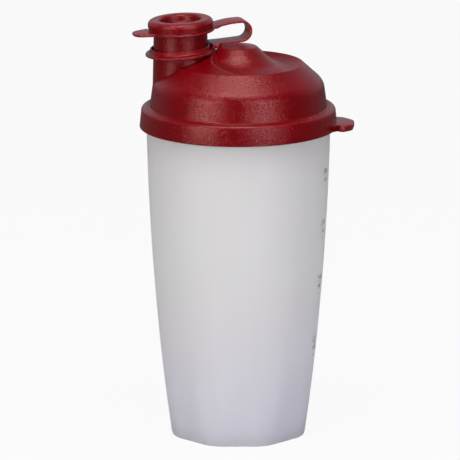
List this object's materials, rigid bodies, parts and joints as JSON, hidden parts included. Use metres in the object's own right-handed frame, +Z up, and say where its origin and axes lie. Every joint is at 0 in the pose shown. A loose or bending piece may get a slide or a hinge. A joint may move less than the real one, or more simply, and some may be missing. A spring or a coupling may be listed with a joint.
{
  "type": "mixing cup",
  "caption": "Tall tapered mixing cup with a faceted foot, a press-on domed lid with a drinking spout, a bladed mixing wheel inside the lid and a plug cap on a strap.",
  "frame": {"origin": "middle of the whole cup's footprint, on the plane that the foot stands on", "axes": "+Z up along the cup's axis, -X towards the drinking spout, +X towards the lid's pull tab, +Y to the back"},
  "size_m": [0.1038, 0.0926, 0.1995],
  "materials": {
    "milky_plastic": "translucent, milky, satin",
    "crimson_plastic": "satin, finely grained, moulded",
    "pale_plastic": "satin"
  },
  "bodies": {
    "cup": {"cup": "milky_plastic"},
    "lid": {"lid": "crimson_plastic"},
    "wheel": {"mixing_wheel": "pale_plastic"},
    "strap_base": {"retaining_ring": "crimson_plastic"},
    "cap": {"spout_cap": "crimson_plastic"}
  },
  "joints": [
    {"name": "lid_lift", "type": "slide", "parent": "cup", "child": "lid", "axis": [0, 0, 1], "range_m": [0, 0.06]},
    {"name": "wheel_pull", "type": "slide", "parent": "lid", "child": "wheel", "axis": [0, 0, -1], "range_m": [0, 0.03]},
    {"name": "ring_swivel", "type": "hinge", "parent": "lid", "child": "strap_base", "pos_m": [-0.02959, 0, 0.18245], "axis": [0, 0, 1], "range_deg": [-25, 25]},
    {"name": "cap_open", "type": "hinge", "parent": "strap_base", "child": "cap", "pos_m": [0.00281, 0.00868, 0.19229], "axis": [-0.2588, 0.9659, 0], "range_deg": [0, 150]}
  ]
}
